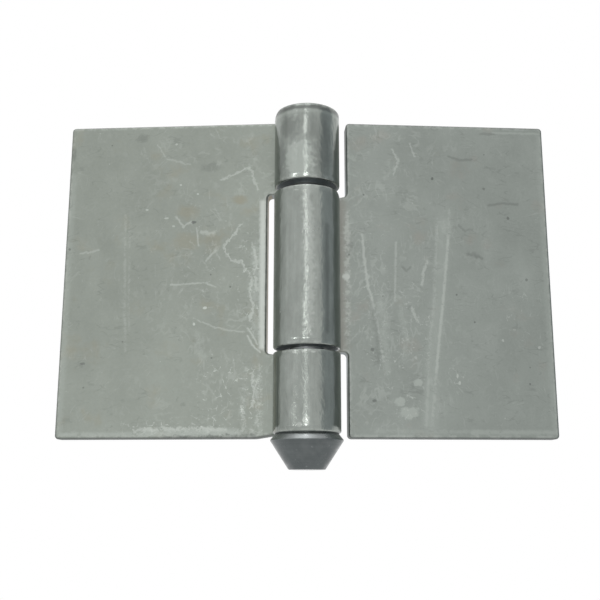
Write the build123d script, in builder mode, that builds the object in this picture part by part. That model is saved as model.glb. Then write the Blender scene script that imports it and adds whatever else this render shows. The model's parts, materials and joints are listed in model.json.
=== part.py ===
# Weld-on butt hinge: two plate leaves with rolled knuckles on one headed pin.
import os
from math import asin, degrees

from build123d import *

# Leaves, in millimetres
leaf_height = 120.0
leaf_reach = 92.0  # from the pin's centre line to a leaf's outer edge
plate = 6.0
leaf_corner = 1.4  # corners of the plate, seen from the front
slot_room = 3.2  # between a knuckle and the plate edge that it turns beside
slot_corner = 1.5  # where a tongue leaves the plate
edge_round = 0.7  # sheared edges of the plate
barrel_round = 1.0  # edges at the barrel's two ends

# Knuckles along the pin
upper_knuckle = 28.9
lower_knuckle = 29.6
upper_gap = 2.3
lower_gap = 1.4
foot_trim = 1.1  # of the lower knuckle's foot, above the leaf's lower edge
trim_run = 7.0  # along the lower edge, where it rises to the trimmed foot
fixed_flare = 1.0  # of the lower tongue, which widens towards the plate
moving_flare = 1.7  # of the middle tongue
flare_run = 9.0  # along the tongue, where it widens
bend_round = 12.0  # where an edge of a tongue bends
seam = 0.6  # between a rolled tongue's end and the leaf's front face
tongue_round = 12.0  # rounded upper corner of a tongue's end
tongue_round_from = 50.0  # degrees round from the knuckle's front, where that corner starts

# Pin
pin_diameter = 12.0
pin_tight = 0.02  # radial clearance in the fixed leaf
pin_running = 0.06  # radial clearance in the moving leaf
pin_recess = 1.0  # of the upper end, below the knuckle's face
pin_chamfer = 1.0
head_diameter = 25.8
head_height = 12.2
bevel_height = 2.2  # above the rim of the head
bevel_width = 1.7
rim_round = 0.3
tip_diameter = 12.8
tip_round = 0.6

# Rest pose
fold_back = 7.3  # degrees past flat

# Places that follow from the sizes above
pin_radius = pin_diameter / 2
half_height = leaf_height / 2
fixed_bore = pin_radius + pin_tight
moving_bore = pin_radius + pin_running
slot_edge = moving_bore + plate + slot_room
flare_from = slot_edge - flare_run
trim_from = slot_edge + trim_run / 2
upper_face = half_height - upper_knuckle
lower_face = lower_knuckle - half_height
lower_foot = foot_trim - half_height
middle_top = upper_face - upper_gap
middle_foot = lower_face + lower_gap
gap_zone = half_height - lower_knuckle / 2  # the knuckle ends within this height face a gap

# The origin is the middle of the fixed leaf's weld face, with the pin beside it and in front
pin_x = (slot_edge + leaf_reach) / 2
pin_y = -(fixed_bore + plate)
pin_plane = Plane(origin=(pin_x, pin_y, 0))

# Each leaf has a plane on the pin, with x out along the leaf and y towards its weld face
fixed_plane = Plane(origin=pin_plane.origin, x_dir=(-1, 0, 0), z_dir=(0, 0, -1))
moving_plane = pin_plane.rotated((0, 0, fold_back))

# The fixed leaf's plane has z down the pin, so its tongues are counted from the top down
fixed_tongues = [(-half_height, -upper_face), (-lower_face, -lower_foot)]
moving_tongues = [(middle_foot, middle_top)]

# Corners of each plate with its tongues' roots: out from the pin, along the pin, and the corner's radius
fixed_corners = [
    (0, -half_height, 0),
    (leaf_reach, -half_height, leaf_corner),
    (leaf_reach, half_height, leaf_corner),
    (trim_from, half_height, bend_round),
    (trim_from - trim_run, -lower_foot, bend_round),
    (0, -lower_foot, 0),
    (0, -lower_face, 0),
    (flare_from, -lower_face, bend_round),
    (slot_edge, -lower_face - fixed_flare, slot_corner),
    (slot_edge, -upper_face, slot_corner),
    (0, -upper_face, 0),
]
moving_corners = [
    (slot_edge, -half_height, leaf_corner),
    (leaf_reach, -half_height, leaf_corner),
    (leaf_reach, half_height, leaf_corner),
    (slot_edge, half_height, leaf_corner),
    (slot_edge, middle_top + moving_flare, slot_corner),
    (flare_from, middle_top, bend_round),
    (0, middle_top, 0),
    (0, middle_foot, 0),
    (slot_edge, middle_foot, slot_corner),
]

os.makedirs("parts", exist_ok=True)

# Leaves: node, plane, bore, tongues, plate corners, height of the rounded tongue corner, the way in from it
leaves = [
    ("fixed_leaf", fixed_plane, fixed_bore, fixed_tongues, fixed_corners, -half_height, 1),
    ("moving_leaf", moving_plane, moving_bore, moving_tongues, moving_corners, middle_top, -1),
]
for node, leaf_plane, bore, tongues, corners, rounded_end, inward in leaves:
    barrel = bore + plate
    roll = 270 + degrees(asin((bore - seam) / barrel))
    end_plane = Plane(leaf_plane.location * Location((0, 0, rounded_end), (0, 0, tongue_round_from - 90)))
    corner_plane = Plane(origin=end_plane.origin, x_dir=end_plane.y_dir, z_dir=end_plane.x_dir)
    weld_point = leaf_plane.from_local_coords(Vector(0, barrel, 0))
    weld_plane = Plane(origin=weld_point, x_dir=leaf_plane.x_dir, z_dir=-leaf_plane.y_dir)

    with BuildPart() as leaf:
        # Tongues rolled from the back, round the far side and over the front of the pin
        for foot, top in tongues:
            with BuildSketch(leaf_plane.offset(foot)):
                with BuildLine():
                    outside = CenterArc((0, 0), barrel, 90, roll)
                    inside = CenterArc((0, 0), bore, 90, roll)
                    Line(outside @ 0, inside @ 0)
                    Line(outside @ 1, inside @ 1)
                make_face()
            extrude(amount=top - foot)

        # Rounded corner of the tongue's end
        with BuildSketch(corner_plane):
            with BuildLine():
                TangentArc((0, 0), (tongue_round, inward * tongue_round), tangent=(1, 0))
                Polyline(
                    (tongue_round, inward * tongue_round),
                    (tongue_round + barrel, inward * tongue_round),
                    (tongue_round + barrel, -inward * plate),
                    (0, -inward * plate),
                    (0, 0),
                )
            make_face()
        extrude(amount=barrel + plate, mode=Mode.SUBTRACT)

        # Plate with the roots of its tongues
        with BuildSketch(weld_plane) as outline:
            with BuildLine():
                Polyline([(out, along) for out, along, radius in corners], close=True)
            make_face()
            for out, along, radius in corners:
                if radius:
                    fillet(outline.vertices().sort_by_distance((out, along))[0], radius)
        extrude(amount=plate)

        # Edges at the barrel's two ends, which run on round the fixed leaf's outline
        arcs = leaf.edges().filter_by(GeomType.CIRCLE).filter_by(lambda arc: arc.radius > pin_radius)
        barrel_ends = arcs.filter_by(lambda arc: abs(arc.center().Z) > gap_zone)
        if barrel_ends:
            fillet(barrel_ends, barrel_round)

        # Edges beside the gaps, which run on round the slots and the moving leaf's outline
        arcs = leaf.edges().filter_by(GeomType.CIRCLE)
        fillet(arcs.filter_by_position(Axis.Z, -gap_zone, gap_zone), edge_round)
    leaf.part.label = node
    export_step(leaf.part, f"parts/{node}.step")

# Pin with a cone-shaped head, which seats on the lower knuckle
head_radius = head_diameter / 2
with BuildPart() as hinge_pin:
    with BuildSketch(Plane(origin=pin_plane.origin, x_dir=(1, 0, 0), z_dir=(0, -1, 0))):
        with BuildLine():
            Polyline(
                (0, half_height - pin_recess),
                (pin_radius, half_height - pin_recess),
                (pin_radius, lower_foot),
                (head_radius - bevel_width, lower_foot),
                (head_radius, lower_foot - bevel_height),
                (tip_diameter / 2, lower_foot - head_height),
                (0, lower_foot - head_height),
                close=True,
            )
        make_face()
    revolve(axis=Axis(pin_plane.origin, (0, 0, 1)))
    rings = hinge_pin.edges().filter_by(GeomType.CIRCLE)
    chamfer(rings.sort_by(Axis.Z)[-1], pin_chamfer)
    rings = hinge_pin.edges().filter_by(GeomType.CIRCLE)
    fillet(rings.sort_by(SortBy.RADIUS)[-1], rim_round)
    rings = hinge_pin.edges().filter_by(GeomType.CIRCLE)
    fillet(rings.sort_by(Axis.Z)[0], tip_round)
hinge_pin.part.label = "hinge_pin"
export_step(hinge_pin.part, "parts/hinge_pin.step")
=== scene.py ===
"""Weld-on butt hinge: two plate leaves rolled round one headed pin, in a plain studio."""
import json
import logging
import math
from abc import ABC, abstractmethod
from dataclasses import dataclass
from enum import Enum
from functools import reduce
from typing import Any, Optional, Sequence, Union

import bpy
import numpy as np
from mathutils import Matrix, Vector
from mathutils.geometry import delaunay_2d_cdt


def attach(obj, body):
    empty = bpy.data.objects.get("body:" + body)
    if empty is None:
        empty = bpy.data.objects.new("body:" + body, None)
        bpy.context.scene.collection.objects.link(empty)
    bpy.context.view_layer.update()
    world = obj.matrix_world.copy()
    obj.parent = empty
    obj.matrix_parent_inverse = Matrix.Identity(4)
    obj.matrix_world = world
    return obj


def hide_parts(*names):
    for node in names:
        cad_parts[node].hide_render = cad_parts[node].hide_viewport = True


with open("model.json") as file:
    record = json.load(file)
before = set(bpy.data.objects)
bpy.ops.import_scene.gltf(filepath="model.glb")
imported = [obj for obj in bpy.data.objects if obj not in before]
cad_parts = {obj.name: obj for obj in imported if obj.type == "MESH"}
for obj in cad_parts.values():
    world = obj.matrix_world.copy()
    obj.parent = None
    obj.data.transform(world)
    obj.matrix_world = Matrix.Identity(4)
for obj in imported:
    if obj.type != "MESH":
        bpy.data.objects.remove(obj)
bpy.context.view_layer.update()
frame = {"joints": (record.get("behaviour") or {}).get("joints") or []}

log = logging.getLogger("weld_on_hinge")

MM = 0.001
LAID_FLAT = "laid_flat"  # UV map in millimetres: out along the leaf, up the pin
FACE = "face"  # attribute: 1 on a leaf's front sheet, 0 on its back sheet, between them on a sheared edge
EDGE = "edge"  # attribute: millimetres from the blank's outline
ROLL = "roll"  # attribute: radians round the pin, 0 on the flat plate

BEND_STEPS = 7  # of a rounded corner
TONGUE_STEPS = 14  # of the rounded end of a tongue
ROUND_TURNS = (0.0, 22.5, 45.0, 67.5, 90.0)  # degrees round a rounded edge, where its rings lie
WALL_SHARES = (0.05, 0.3, 0.6, 0.95)  # rings of a sheared wall, from the front sheet to the back one
LEAST_MITRE = 0.4
CLEAR_OF_RIM = 0.6  # of a cell, between a sheet's rim and the points that fill it
PROFILE_STEP = 1.5  # along the pin's profile, in millimetres
TINY = 1e-6
LEVEL = 1e-9  # a rim's run that rises less is level, in millimetres
SIDES_APART = 40.0  # between the patterns of a leaf's front and back, in millimetres
APART = 37.0  # between the patterns of strokes that run different ways, in millimetres
SENSOR = 36.0  # width of the camera's sensor, in millimetres
COAT_IOR = 1.45
WHITE = (1.0, 1.0, 1.0, 1.0)
SQUARE = ((-0.5, -0.5), (0.5, -0.5), (0.5, 0.5), (-0.5, 0.5))

Colour = tuple[float, float, float]
Place = tuple[float, float]
Number = Union["Wire", float]
Settings = dict[str, Any]
Inputs = dict[Union[str, int], Any]


@dataclass(frozen=True)
class HingeSizes:
    """Sizes that the pieces share, in millimetres, and degrees for angles."""

    # Leaves
    leaf_height: float = 120.0
    leaf_reach: float = 92.0
    plate: float = 6.0
    leaf_corner: float = 1.4
    slot_room: float = 3.2
    slot_corner: float = 1.5
    edge_round: float = 0.7
    barrel_round: float = 1.0
    # Knuckles along the pin
    upper_knuckle: float = 28.9
    lower_knuckle: float = 29.6
    upper_gap: float = 2.3
    lower_gap: float = 1.4
    foot_trim: float = 1.1
    trim_run: float = 7.0
    fixed_flare: float = 1.0
    moving_flare: float = 1.7
    flare_run: float = 9.0
    bend_round: float = 12.0
    seam: float = 0.6
    tongue_round: float = 12.0
    tongue_round_from: float = 50.0
    # Pin
    pin_diameter: float = 12.0
    pin_tight: float = 0.02
    pin_running: float = 0.06
    pin_recess: float = 1.0
    pin_chamfer: float = 1.0
    head_diameter: float = 25.8
    head_height: float = 12.2
    bevel_height: float = 2.2
    bevel_width: float = 1.7
    rim_round: float = 0.3
    tip_diameter: float = 12.8
    tip_round: float = 0.6
    # Rest pose
    fold_back: float = 7.3

    @property
    def half_height(self) -> float:
        """From the middle of a leaf to its upper edge."""
        return self.leaf_height / 2

    @property
    def fixed_bore(self) -> float:
        """Inner radius of the fixed leaf's knuckles."""
        return self.pin_diameter / 2 + self.pin_tight

    @property
    def moving_bore(self) -> float:
        """Inner radius of the moving leaf's knuckle."""
        return self.pin_diameter / 2 + self.pin_running

    @property
    def slot_edge(self) -> float:
        """From the pin's centre line to the plate edge beside a knuckle."""
        return self.moving_bore + self.plate + self.slot_room

    @property
    def flare_from(self) -> float:
        """From the pin's centre line to where a tongue starts to widen."""
        return self.slot_edge - self.flare_run

    @property
    def trim_from(self) -> float:
        """From the pin's centre line to where the lower edge starts to rise."""
        return self.slot_edge + self.trim_run / 2

    @property
    def upper_face(self) -> float:
        """Height of the upper knuckle's lower end."""
        return self.half_height - self.upper_knuckle

    @property
    def lower_face(self) -> float:
        """Height of the lower knuckle's upper end."""
        return self.lower_knuckle - self.half_height

    @property
    def lower_foot(self) -> float:
        """Height of the lower knuckle's lower end, where the pin's head seats."""
        return self.foot_trim - self.half_height

    @property
    def middle_top(self) -> float:
        """Height of the middle knuckle's upper end."""
        return self.upper_face - self.upper_gap

    @property
    def middle_foot(self) -> float:
        """Height of the middle knuckle's lower end."""
        return self.lower_face + self.lower_gap

    @property
    def gap_zone(self) -> float:
        """Height within which a knuckle's end faces a gap."""
        return self.half_height - self.lower_knuckle / 2


SIZES = HingeSizes()


class Wire:
    """An output socket of a node; arithmetic on it adds Math nodes to its tree."""

    def __init__(self, bench: "Bench", socket: bpy.types.NodeSocket) -> None:
        """Keeps the socket and the bench that wires its tree."""
        self.bench = bench
        self.socket = socket

    def __add__(self, other: Number) -> "Wire":
        """Sum with a number or another wire."""
        return self.bench.math("ADD", self, other)

    def __radd__(self, other: Number) -> "Wire":
        """Sum, with the number first."""
        return self.bench.math("ADD", other, self)

    def __sub__(self, other: Number) -> "Wire":
        """Difference."""
        return self.bench.math("SUBTRACT", self, other)

    def __rsub__(self, other: Number) -> "Wire":
        """Difference, with the number first."""
        return self.bench.math("SUBTRACT", other, self)

    def __mul__(self, other: Number) -> "Wire":
        """Product."""
        return self.bench.math("MULTIPLY", self, other)

    def __rmul__(self, other: Number) -> "Wire":
        """Product, with the number first."""
        return self.bench.math("MULTIPLY", other, self)

    def __truediv__(self, other: Number) -> "Wire":
        """Quotient."""
        return self.bench.math("DIVIDE", self, other)

    def __neg__(self) -> "Wire":
        """Negative."""
        return self.bench.math("MULTIPLY", self, -1.0)

    def __abs__(self) -> "Wire":
        """Size without the sign."""
        return self.bench.math("ABSOLUTE", self)

    def least(self, other: Number) -> "Wire":
        """The lesser of two values."""
        return self.bench.math("MINIMUM", self, other)

    def most(self, other: Number) -> "Wire":
        """The greater of two values."""
        return self.bench.math("MAXIMUM", self, other)

    def rise(self, low: float, high: float) -> "Wire":
        """Smooth step from 0 at low to 1 at high, or down from 1 to 0 where low is the greater.

        Args:
            low: value at which the step starts.
            high: value at which it is whole.

        Returns:
            The step, from 0 to 1.
        """
        return self.bench.out(
            "ShaderNodeMapRange",
            {"interpolation_type": "SMOOTHSTEP"},
            {"Value": self, "From Min": low, "From Max": high},
        )


class Bench:
    """Adds nodes to one tree, of a material, the world or a shape."""

    def __init__(self, tree: bpy.types.NodeTree) -> None:
        """Keeps the tree that the nodes go into."""
        self.tree = tree

    @classmethod
    def bare(cls, owner: Union[bpy.types.Material, bpy.types.World]) -> "Bench":
        """Empties the tree of a new material or world.

        Args:
            owner: what the tree belongs to.

        Returns:
            The bench for that tree.
        """
        owner.use_nodes = True
        owner.node_tree.nodes.clear()
        return cls(owner.node_tree)

    def node(
        self, kind: str, settings: Optional[Settings] = None, inputs: Optional[Inputs] = None
    ) -> bpy.types.Node:
        """Adds one node.

        Args:
            kind: Blender's type name of the node.
            settings: the node's own properties, which are set first.
            inputs: values or wires by the socket's name, identifier or number.

        Returns:
            The node.
        """
        made = self.tree.nodes.new(kind)
        for name, value in (settings or {}).items():
            setattr(made, name, value)
        for key, value in (inputs or {}).items():
            socket = self.find(made.inputs, key)
            if isinstance(value, Wire):
                self.tree.links.new(value.socket, socket)
            else:
                socket.default_value = value
        return made

    def out(
        self,
        kind: str,
        settings: Optional[Settings] = None,
        inputs: Optional[Inputs] = None,
        output: Union[str, int] = 0,
    ) -> Wire:
        """Adds one node and returns one of its outputs.

        Args:
            kind: Blender's type name of the node.
            settings: the node's own properties.
            inputs: values or wires by socket.
            output: name, identifier or number of the output.

        Returns:
            The output's wire.
        """
        made = self.node(kind, settings, inputs)
        return Wire(self, self.find(made.outputs, output))

    def math(self, operation: str, *values: Number) -> Wire:
        """One Math node of the given operation on the given values."""
        return self.out("ShaderNodeMath", {"operation": operation}, dict(enumerate(values)))

    def vector(self, operation: str, *values: Any, output: str = "Vector") -> Wire:
        """One Vector Math node of the given operation on the given vectors."""
        return self.out("ShaderNodeVectorMath", {"operation": operation}, dict(enumerate(values)), output)

    def scaled(self, vector: Any, by: Number) -> Wire:
        """A vector or colour times a value."""
        return self.out("ShaderNodeVectorMath", {"operation": "SCALE"}, {0: vector, "Scale": by}, "Vector")

    def blend(self, factor: Number, first: Any, second: Any) -> Wire:
        """A colour between two, by a factor from 0 to 1."""
        ends = {"Factor_Float": factor, "A_Color": self._rgba(first), "B_Color": self._rgba(second)}
        return self.out("ShaderNodeMix", {"data_type": "RGBA"}, ends, "Result_Color")

    def noise(
        self, at: Wire, scale: float, detail: float = 2.0, rough: float = 0.5, output: str = "Fac"
    ) -> Wire:
        """Cloudy noise.

        Args:
            at: where it is read.
            scale: how often it repeats in a unit of that place.
            detail: how many finer layers it has.
            rough: how strong those are.
            output: Fac for a value, Color for three at once.

        Returns:
            The noise, round about 0.5.
        """
        values = {"Vector": at, "Scale": scale, "Detail": detail, "Roughness": rough}
        return self.out("ShaderNodeTexNoise", {"noise_dimensions": "3D"}, values, output)

    def cells(self, at: Wire, scale: float, feature: str = "F1", output: str = "Distance") -> Wire:
        """Scattered cells: the distance to the nearest seed or cell edge, or the cell's own colour."""
        settings = {"voronoi_dimensions": "3D", "feature": feature}
        return self.out("ShaderNodeTexVoronoi", settings, {"Vector": at, "Scale": scale}, output)

    def moved(self, at: Wire, shift: Sequence[float], scale: float = 1.0) -> Wire:
        """A place scaled and then shifted."""
        values = {"Vector": at, "Location": shift, "Scale": (scale, scale, scale)}
        return self.out("ShaderNodeMapping", {"vector_type": "POINT"}, values)

    def laid(self, at: Wire, middle: Place, size: Sequence[float], turn: float = 0.0) -> Wire:
        """A place measured along axes that are turned and stretched, for a pattern that lies that way.

        Args:
            at: the place.
            middle: where the pattern starts from on the sheet.
            size: lengths that count as 1 along the axes.
            turn: degrees that the axes are turned about the third one.

        Returns:
            The place in the pattern.
        """
        turned = (0.0, 0.0, math.radians(turn))
        values = {"Vector": at, "Location": (*middle, 0.0), "Rotation": turned, "Scale": size}
        return self.out("ShaderNodeMapping", {"vector_type": "TEXTURE"}, values)

    def parts(self, at: Wire) -> tuple[Wire, Wire, Wire]:
        """The three numbers of a place."""
        split = self.node("ShaderNodeSeparateXYZ", {}, {0: at})
        return tuple(Wire(self, socket) for socket in split.outputs)

    @staticmethod
    def _rgba(colour: Any) -> Any:
        """A plain colour with its fourth value; a wire stays as it is."""
        return colour if isinstance(colour, Wire) else (*colour, 1.0)

    @staticmethod
    def find(sockets: Any, key: Union[str, int]) -> bpy.types.NodeSocket:
        """Finds a socket.

        Args:
            sockets: a node's inputs or outputs.
            key: the socket's number, identifier or name.

        Returns:
            The socket.
        """
        if isinstance(key, int):
            return sockets[key]
        for socket in sockets:
            if socket.identifier == key:
                return socket
        return next(socket for socket in sockets if socket.name == key and socket.enabled)


def oiled_steel(bench: Bench, surface: Inputs, height: Wire, strength: float, depth: float) -> None:
    """Ends a material as bare steel under a film of oil.

    Args:
        bench: where the nodes go.
        surface: colour, roughness and coat of the shader.
        height: relief of the surface.
        strength: how much of the relief shows.
        depth: height of one unit of the relief, in metres.
    """
    relief = {"Strength": strength, "Distance": depth, "Height": height}
    normal = bench.out("ShaderNodeBump", {}, relief, "Normal")
    steel = {"Metallic": 1.0, "Coat IOR": COAT_IOR, "Normal": normal}
    shader = bench.out("ShaderNodeBsdfPrincipled", {}, {**steel, **surface})
    bench.node("ShaderNodeOutputMaterial", {}, {"Surface": shader})


@dataclass(frozen=True)
class Sheet:
    """A leaf's surface as its finish reads it: the place on the flat blank, and what is there."""

    bench: Bench
    at: Wire  # place in millimetres, with front and back set apart
    face: Wire  # 1 on the front sheet, 0 on the back, between them on a wall
    edge: Wire  # millimetres from the outline
    front: Wire  # 1 on the front sheet
    wall: Wire  # 1 on a sheared wall
    burnished: Wire  # 1 on the outside of a roll

    @classmethod
    def read(cls, bench: Bench, seed: float) -> "Sheet":
        """Reads the blank's own map and attributes.

        Args:
            bench: where the nodes go.
            seed: what sets this leaf's patterns apart from the other leaf's.

        Returns:
            The surface.
        """
        face, edge, roll = (
            bench.out("ShaderNodeAttribute", {"attribute_name": name}, output="Fac")
            for name in (FACE, EDGE, ROLL)
        )
        flat = bench.out("ShaderNodeUVMap", {"uv_map": LAID_FLAT})
        side = bench.out("ShaderNodeCombineXYZ", {}, {"Z": face * SIDES_APART + seed})
        at = bench.vector("ADD", flat, side)
        front = face.rise(0.93, 0.99)
        wall = face.rise(0.02, 0.10) * face.rise(0.98, 0.90)
        burnished = roll.rise(0.10, 0.55) * (1.0 - front) * (1.0 - wall)
        return cls(bench, at, face, edge, front, wall, burnished)

    def shake(self, scale: float) -> Wire:
        """The way that lines wander, up to half a unit along the sheet.

        Args:
            scale: how often it changes in a millimetre.

        Returns:
            The way at each place.
        """
        swirl = self.bench.noise(self.at, scale, detail=3.0, rough=0.7, output="Color")
        way = self.bench.vector("SUBTRACT", swirl, (0.5, 0.5, 0.5))
        return self.bench.vector("MULTIPLY", way, (1.0, 1.0, 0.0))

    def shaken(self, shake: Wire, reach: float) -> Wire:
        """The place, moved by a shake of the given reach in millimetres."""
        return self.bench.vector("ADD", self.at, self.bench.scaled(shake, reach))

    def dots(self, shift: Place, scale: float, share: float) -> Wire:
        """Scattered dots.

        Args:
            shift: what sets these dots apart from others, in millimetres.
            scale: how many cells there are in a millimetre.
            share: how many of the cells have a dot.

        Returns:
            1 in a dot.
        """
        at = self.bench.moved(self.at, (*shift, 0.0))
        cell = self.bench.cells(at, scale, output="Color")
        chance = self.bench.out("ShaderNodeSeparateColor", {}, {0: cell}, 0)
        return self.bench.cells(at, scale).rise(0.075, 0.03) * chance.rise(1.0 - share, 1.05 - share)

    def strokes(self, at: Wire, size: Place, turns: Sequence[float], thin: float, patches: float) -> Wire:
        """Strokes in patches, where the contour of a stretched noise is thin.

        Args:
            at: where they are read.
            size: length and breadth of the noise's swells, in millimetres.
            turns: the ways that strokes run, in degrees.
            thin: share of the noise's range that makes a stroke.
            patches: how many patches there are in a millimetre.

        Returns:
            1 in a stroke.
        """
        bench = self.bench
        lines = []
        for turn in turns:
            shift = APART + turn
            along = bench.laid(at, (shift, -shift), (*size, 1.0), turn)
            run = bench.noise(along, 1.0, detail=1.0, rough=0.4)
            elsewhere = bench.moved(at, (-shift, 2.0 * shift, 0.0))
            patch = bench.noise(elsewhere, patches, detail=3.0, rough=0.6).rise(0.54, 0.66)
            lines.append(abs(run - 0.5).rise(thin, 0.25 * thin) * patch)
        return reduce(Wire.most, lines)

    def nicks(self) -> Wire:
        """Fine nicks: a torn net of short lines, with specks between them.

        Returns:
            1 in a nick.
        """
        shaken = self.shaken(self.shake(0.7), 2.4)
        net = self.bench.cells(shaken, 0.36, "DISTANCE_TO_EDGE")
        elsewhere = self.bench.moved(self.at, (23.0, 61.0, 0.0))
        torn = self.bench.noise(elsewhere, 0.40, detail=3.0, rough=0.7).rise(0.50, 0.64)
        specks = self.dots(shift=(5.0, 77.0), scale=0.45, share=0.45)
        return (net.rise(0.055, 0.01) * torn).most(specks)


class Hit(Enum):
    """What a mark does to the colour, in the order that marks lie over each other; most are marks on the
    steel, some are painted highlights, glints and shade.
    """

    WARM = "dried oil"
    # PALE also serves painted highlight bands on the upper knuckle and along the edges
    PALE = "film of oil wiped thin"
    NICKED = "peppered with fine nicks"
    # DARK also serves painted shade on the knuckles and a painted shadow along the lower edge
    DARK = "pit or smudge"
    # BRIGHT also serves painted highlights and glints on the knuckles, and partly the light band beside the
    # slot
    BRIGHT = "bared metal"


@dataclass(frozen=True)
class Ground:
    """What marks are laid on: the flat place, the way that lines wander, and the noise that breaks lines."""

    bench: Bench
    flat: Wire
    shake: Wire
    gaps: Wire

    def shaken(self, reach: float) -> Wire:
        """The flat place, moved by the shake times a reach in millimetres."""
        return self.bench.vector("MULTIPLY_ADD", self.shake, (reach, reach, reach), self.flat)


@dataclass(frozen=True)
class Scratch:
    """A line on a leaf, through places out along the leaf and up the pin, in millimetres."""

    path: tuple[Place, ...]
    width: float
    strength: float
    wander: float
    broken: float

    def share(self, ground: Ground) -> Wire:
        """How strongly it shows: near its path, wandering, uneven in width and broken by gaps.

        Args:
            ground: what it is laid on.

        Returns:
            Its share, from 0 to its strength.
        """
        at = ground.shaken(3.0 * self.wander)
        runs = zip(self.path, self.path[1:])
        apart = reduce(Wire.least, (self._apart(ground.bench, at, *run) for run in runs))
        line = (apart / (0.5 + ground.gaps)).rise(0.9 * self.width, 0.1 * self.width)
        shown = ground.gaps.rise(0.18 + 0.30 * self.broken, 0.32 + 0.34 * self.broken)
        return line * shown * self.strength

    @staticmethod
    def _apart(bench: Bench, at: Wire, start: Place, end: Place) -> Wire:
        """How far a place is from one run of the path.

        Args:
            bench: where the nodes go.
            at: the place.
            start: where the run starts.
            end: where it ends.

        Returns:
            The distance, in millimetres.
        """
        run = Vector((end[0] - start[0], end[1] - start[1], 0.0))
        away = bench.vector("SUBTRACT", at, (*start, 0.0))
        along = bench.vector("DOT_PRODUCT", away, run / run.length_squared, output="Value")
        held = bench.out("ShaderNodeClamp", {}, {"Value": along})
        return bench.vector("DISTANCE", away, bench.scaled(run, held), output="Value")


@dataclass(frozen=True)
class Spot:
    """A spot on a leaf, with its place and its half width and half height in millimetres."""

    place: Place
    half: Place
    strength: float
    soft: float = 0.4

    def share(self, ground: Ground) -> Wire:
        """How strongly it shows: inside its oval, with an uneven edge.

        Args:
            ground: what it is laid on.

        Returns:
            Its share, from 0 to its strength.
        """
        across, up = self.half
        away = ground.bench.vector("SUBTRACT", ground.shaken(2.0 * min(across, up)), (*self.place, 0.0))
        oval = ground.bench.vector("MULTIPLY", away, (1.0 / across, 1.0 / up, 0.0))
        inside = ground.bench.vector("LENGTH", oval, output="Value")
        return inside.rise(1.0 + self.soft / 2, 1.0 - self.soft / 2) * self.strength


Marks = dict[Hit, tuple[Union[Scratch, Spot], ...]]


@dataclass(frozen=True)
class Roll:
    """Where a place on a leaf's rolled knuckle lies on its flat blank."""

    barrel: float  # outer radius, in millimetres
    way: float  # 1 where the tongue comes over the front from the left, -1 where from the right
    turned: float  # degrees that the leaf is folded back

    def at(self, right: float, up: float) -> Place:
        """The blank's place, from degrees right of the knuckle's front and millimetres up the pin."""
        return (-self.barrel * math.radians(180.0 + self.way * right - self.turned), up)

    def path(self, *places: Place) -> tuple[Place, ...]:
        """The blank's places of a path over the knuckle."""
        return tuple(self.at(right, up) for right, up in places)


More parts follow.
